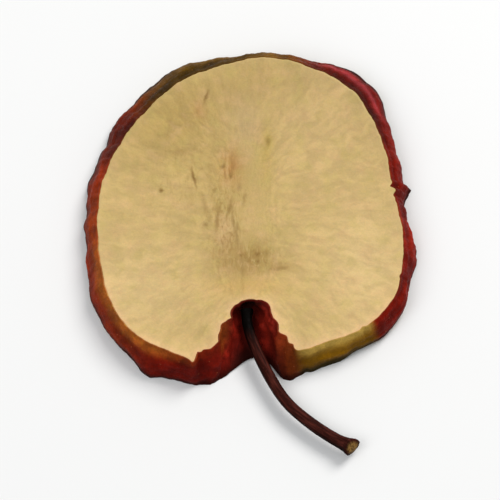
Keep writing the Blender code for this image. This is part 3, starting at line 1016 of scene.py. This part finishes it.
flesh_material, tree, shader, place = new_material(
    "dried flesh",
    Specular_IOR_Level=0.15,
    Subsurface_Weight=0.1,
    Subsurface_Radius=(1.0, 0.6, 0.3),
    Subsurface_Scale=0.0012,
)
tone = attribute(tree, "tone", "Color")
fibre_place = attribute(tree, "fibre", "Vector")
streak = noise(tree, fibre_place, 0.6, roughness=0.6, distortion=0.4)
cloud = noise(tree, place, 6.0, roughness=0.55)
tint = noise(tree, place, 2.6, detail=2.0)
grain = noise(tree, place, 0.33, roughness=0.65)
colour = blended(tree, spread(tree, tint, 0.5, 0.7, 0.0, 0.3), tone, ROSE_TINT)
colour = blended(tree, spread(tree, tint, 0.5, 0.3, 0.0, 0.3), colour, GREEN_TINT)
# The relief term is painted shade and light: darker in the wrinkles' valleys, lighter on their crests. The
# others are the flesh's own mottling.
for shade, *reach in (
    (streak, 0.25, 0.75, 0.965, 1.035),
    (cloud, 0.3, 0.7, 0.96, 1.04),
    (attribute(tree, "relief"), -0.5, 0.5, 0.925, 1.06),
    (grain, 0.25, 0.75, 0.95, 1.05),
):
    colour = scaled(tree, colour, spread(tree, shade, *reach))
veins = noise(tree, scaled(tree, place, (0.9, 0.34, 1.0)), 1.0, detail=2.0, roughness=0.55, distortion=1.6)
heart = attribute(tree, "heart")
dark_veins = times(tree, spread(tree, veins, 0.5, 0.68, 0.0, 0.5), heart)
pale_veins = times(tree, spread(tree, veins, 0.48, 0.32, 0.0, 0.3), heart)
colour = blended(tree, dark_veins, colour, VEIN_BROWN)
colour = blended(tree, pale_veins, colour, LIGHT_FLESH)
wobble = add_node(tree, "ShaderNodeTexNoise", {"Vector": place, "Scale": 1.3, "Detail": 3.0}).outputs[1]
wobble = vector_sum(tree, "MULTIPLY_ADD", wobble, (MARK_WOBBLE,) * 3, place)
marked = 0.0
for x, y, half_length, half_width, degrees, strength in FLESH_MARKS:
    spot_place = {
        "Vector": wobble,
        "Location": (x + shift[0] + MARK_WOBBLE / 2, y + shift[1] + MARK_WOBBLE / 2, 0.0),
        "Rotation": (0.0, 0.0, math.radians(degrees)),
        "Scale": (half_length * 1.3, half_width * 1.3, 1000.0),
    }
    spot = add_node(tree, "ShaderNodeMapping", spot_place, vector_type="TEXTURE").outputs[0]
    reach = add_node(tree, "ShaderNodeVectorMath", {0: spot}, operation="LENGTH").outputs["Value"]
    marked = reckon(tree, "MAXIMUM", spread(tree, reach, 1.25, 0.0, 0.0, strength), marked)
colour = blended(tree, marked, colour, MARK_BROWN)
roughness = spread(tree, grain, 0.3, 0.7, 0.58, 0.74)
dressed(tree, shader, colour, roughness, ((grain, 0.05), (streak, 0.06)))

shape_by(flesh, "dried flesh relief", FLESH_SIZES, flesh_material)
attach(flesh, "root")
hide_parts("slice")

# Stem: the woody stalk the apple hung by, dried dark and ribbed. It grows out of the core at the
# bottom of the stem hollow, bends to the right, thickens outwards and flares into the scar where
# it parted from the twig.

STEM_LINE = (
    (-0.4, -22.7, 3.8),
    (-0.3, -25.4, 3.6),
    (0.9, -29.4, 3.2),
    (3.7, -35.6, 2.7),
    (6.95, -40.9, 2.5),
    (11.2, -45.0, 2.4),
    (15.8, -48.3, 2.4),
    (19.2, -50.2, 2.5),
)
STEM_THIN_RADIUS = 0.93
STEM_THICK_RADIUS = 1.2
STEM_ROOT_SWELL = 0.3
STEM_TIP_FLARE = 0.5
STEM_ROOT_SHARE = 0.12
STEM_FLARE_SHARE = 0.13
STEM_FLARE_POWER = 1.6
STEM_RINGS = 220
STEM_SIDES = 40
TIP_STEPS = ((1.0, 0.0), (0.96, 0.05), (0.86, 0.09), (0.6, 0.11), (0.3, 0.12), (0.0, 0.13))
TIP_HEIGHT = 2.4
STEM_SIZES = {"Rib Depth": 0.22, "Bark Depth": 0.1, "Knob Depth": 0.25, "Tip Slant": 0.7, "Tip Skew": 0.28}

STEM_DARK = srgb(40, 13, 8)
STEM_LIGHT = srgb(84, 37, 29)
STEM_TAN = srgb(140, 106, 56)
# Painted shade for the stem's root, down in the hollow.
STEM_ROOT_SHADE = srgb(5, 3, 2)


def smooth_line(points, samples):
    """An open smooth curve through the points, with its ends carried straight on."""
    points = np.asarray(points, float)
    ends = 2 * points[[0, -1]] - points[[1, -2]]
    whole = np.vstack((ends[:1], points, ends[1:]))
    place = np.linspace(0, len(points) - 1, samples)
    start = np.minimum(place.astype(int), len(points) - 2)
    corners = (whole[start + step] for step in range(4))
    return between(*corners, (place - start)[:, None])


stem_line = smooth_line(STEM_LINE, STEM_RINGS)
along = np.linspace(0, 1, STEM_RINGS)
stem_radius = STEM_THIN_RADIUS + along * (STEM_THICK_RADIUS - STEM_THIN_RADIUS)
stem_radius += STEM_ROOT_SWELL * np.maximum(0, 1 - along / STEM_ROOT_SHARE) ** 2
stem_radius += STEM_TIP_FLARE * np.maximum(0, 1 - (1 - along) / STEM_FLARE_SHARE) ** STEM_FLARE_POWER
root_way = stem_line[0] - stem_line[1]
root_way /= np.linalg.norm(root_way)
tip_way = stem_line[-1] - stem_line[-2]
tip_way /= np.linalg.norm(tip_way)
root_cap = [stem_line[0] + root_way * fall for share, fall in TIP_STEPS[:0:-1]]
tip_cap = [stem_line[-1] + tip_way * rise for share, rise in TIP_STEPS[1:]]
stem_path = np.vstack((root_cap, stem_line, tip_cap))
caps = np.array([share for share, rise in TIP_STEPS[1:]])
stem_radius = np.concatenate((stem_radius[0] * caps[::-1], stem_radius, stem_radius[-1] * caps))
stem_along = np.concatenate((np.zeros(len(caps)), along, np.ones(len(caps))))
stem_end = np.concatenate((np.zeros(len(caps) + STEM_RINGS), 1 - caps))

stem = piece_from(
    "stem_wood",
    stem_path + shift,
    [(one, one + 1) for one in range(len(stem_path) - 1)],
    [],
    {"thick": stem_radius * MM, "along": stem_along, "end": stem_end},
)

# Stem rod: a round swept along the line, with ribs along it, rough bark and a knobbly scar.
tree, start, end, place = shaping_tree("stem rod", STEM_SIZES)
line = add_node(tree, "GeometryNodeMeshToCurve", {"Mesh": start["Geometry"]}).outputs[0]
circle = {"Resolution": STEM_SIDES, "Radius": 1.0}
circle = add_node(tree, "GeometryNodeCurvePrimitiveCircle", circle, mode="RADIUS").outputs[0]
on_circle = tree.nodes.new("GeometryNodeInputPosition").outputs[0]
circle = kept_as(tree, circle, "round", on_circle, "FLOAT_VECTOR")
swept = {"Curve": line, "Profile Curve": circle, "Scale": named(tree, "thick")}
rod = add_node(tree, "GeometryNodeCurveToMesh", swept).outputs[0]
rod = add_node(tree, "GeometryNodeMergeByDistance", {"Geometry": rod, "Distance": 0.000004}).outputs[0]
along = named(tree, "along")
rib_place = scaled(tree, named(tree, "round", "FLOAT_VECTOR"), (2.1,) * 3)
rib_place = vector_sum(tree, "ADD", rib_place, upright(tree, times(tree, along, 2.6)))
ribs = less(tree, noise(tree, rib_place, 1.0, detail=2.0), 0.5)
bark = less(tree, noise(tree, place, 0.7, roughness=0.6), 0.5)
at_tip = spread(tree, along, 0.93, 1.0)
knobs = times(tree, less(tree, noise(tree, place, 1.1, detail=1.0), 0.45), at_tip)
height = times(tree, ribs, start["Rib Depth"])
for layer, depth in ((bark, "Bark Depth"), (knobs, "Knob Depth")):
    height = reckon(tree, "MULTIPLY_ADD", layer, start[depth], height)
fade = spread(tree, named(tree, "end"), 0.8, 0.2)
above = less(tree, add_node(tree, "ShaderNodeSeparateXYZ", {0: place}).outputs["Z"], TIP_HEIGHT)
tip_side = Vector((-tip_way[1], tip_way[0], 0)).normalized()
aside = add_node(tree, "ShaderNodeVectorMath", {0: place, 1: tip_side}, operation="DOT_PRODUCT")
aside = less(tree, aside.outputs["Value"], tip_side.dot(Vector(stem_line[-1] + shift)))
slant = times(tree, reckon(tree, "MAXIMUM", above, 0.0), start["Tip Slant"])
slant = less(tree, slant, times(tree, aside, start["Tip Skew"]))
slant = times(tree, slant, at_tip)
back = scaled(tree, slant, tuple(-MM * tip_way))
rod = add_node(tree, "GeometryNodeSetPosition", {"Geometry": rod, "Offset": back}).outputs[0]
rod = kept_as(tree, rod, "fold", reckon(tree, "DIVIDE", height, start["Rib Depth"]))
# How far each point faces up, kept for the stem's painted light and shade.
facing_up = tree.nodes.new("GeometryNodeInputNormal").outputs[0]
rod = kept_as(tree, rod, "top", add_node(tree, "ShaderNodeSeparateXYZ", {0: facing_up}).outputs["Z"])
rod = moved_out(tree, rod, times(tree, height, fade))
finished(tree, rod, start, end)

stem_material, tree, shader, place = new_material("dried stem", Specular_IOR_Level=0.03)
fold = attribute(tree, "fold")
along = attribute(tree, "along")
streak_place = scaled(tree, attribute(tree, "round", "Vector"), (2.2,) * 3)
streak_place = vector_sum(tree, "ADD", streak_place, upright(tree, times(tree, along, 9.0)))
streak = noise(tree, streak_place, 1.0, roughness=0.6)
speckle = noise(tree, place, 0.4, detail=2.0, roughness=0.6)
colour = blended(tree, spread(tree, streak, 0.4, 0.75), STEM_DARK, STEM_LIGHT)
# Painted shade and light: darker in the grooves between the ribs, lighter on them.
colour = scaled(tree, colour, spread(tree, fold, -0.5, 0.5, 0.74, 1.2))
# Pale speckles: partly the stem's own flecks, partly painted highlight glints.
colour = blended(tree, spread(tree, speckle, 0.6, 0.72, 0.0, 0.4), colour, STEM_LIGHT)
# Painted light and shade: the stem is lighter where it faces up and darker along its sides.
colour = scaled(tree, colour, spread(tree, attribute(tree, "top"), 0.2, 0.95, 0.32, 1.25))
scar = times(tree, spread(tree, attribute(tree, "end"), 0.1, 0.6), spread(tree, speckle, 0.32, 0.52))
colour = blended(tree, scar, colour, STEM_TAN)
# Painted shade: the stem goes near black towards its root, down in the hollow.
colour = blended(tree, spread(tree, along, 0.36, 0.17), colour, STEM_ROOT_SHADE)
roughness = spread(tree, speckle, 0.3, 0.7, 0.45, 0.65)
dressed(tree, shader, colour, roughness, ((streak, 0.08), (speckle, 0.06)))

shape_by(stem, "stem rod", STEM_SIZES, stem_material)
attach(stem, "root")
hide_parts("stem")

# Floor, light and camera: a plain pale table, a broad soft light from behind on the right, a
# wide one overhead and an even sky, seen steeply from above the stem end.

FLOOR_REACH = 3.0
corners = [(x * FLOOR_REACH, y * FLOOR_REACH, 0) for x, y in ((-1, -1), (1, -1), (1, 1), (-1, 1))]
floor_mesh = bpy.data.meshes.new("floor")
floor_mesh.from_pydata(corners, [], [(0, 1, 2, 3)])
floor = shown("floor", floor_mesh)
floor_material, tree, shader, place = new_material("pale floor", Roughness=0.9, Specular_IOR_Level=0.1)
shader.inputs["Base Color"].default_value = (0.89, 0.89, 0.885, 1.0)
floor_mesh.materials.append(floor_material)

# Each soft light, as (place in m, size in m, power in W, colour).
SOFT_LIGHTS = (
    ((0.45, 0.50, 0.75), 0.55, 6.7, (1.0, 0.985, 0.96)),
    ((-0.55, -0.35, 0.85), 0.8, 3.7, (0.98, 0.99, 1.0)),
)
SKY = (0.96, 0.98, 1.0)
SKY_STRENGTH = 0.41
for number, (spot, size, power, colour) in enumerate(SOFT_LIGHTS):
    lamp = bpy.data.lights.new(f"soft light {number}", "AREA")
    lamp.shape = "DISK"
    lamp.size = size
    lamp.energy = power
    lamp.color = colour
    holder = shown(lamp.name, lamp)
    holder.location = spot
    holder.rotation_euler = (-Vector(spot)).to_track_quat("-Z", "Y").to_euler()
world = bpy.data.worlds.new("studio")
world.use_nodes = True
sky = world.node_tree.nodes["Background"].inputs
sky["Color"].default_value = (*SKY, 1.0)
sky["Strength"].default_value = SKY_STRENGTH
bpy.context.scene.world = world
bpy.context.scene.view_settings.view_transform = "Standard"
bpy.context.scene.view_settings.look = "None"

CAMERA_TILT = math.radians(64)
CAMERA_AWAY = 1.1
FRAME_WIDTH = 0.0935
SENSOR_WIDTH = 36
camera_data = bpy.data.cameras.new("camera")
camera_data.sensor_width = SENSOR_WIDTH
camera_data.lens = SENSOR_WIDTH * CAMERA_AWAY / FRAME_WIDTH
camera = shown("camera", camera_data)
back = Vector((0, -math.cos(CAMERA_TILT), math.sin(CAMERA_TILT)))
camera.location = (cad_low + cad_high) / 2 + back * CAMERA_AWAY
camera.rotation_euler = (-back).to_track_quat("-Z", "Y").to_euler()
bpy.context.scene.camera = camera
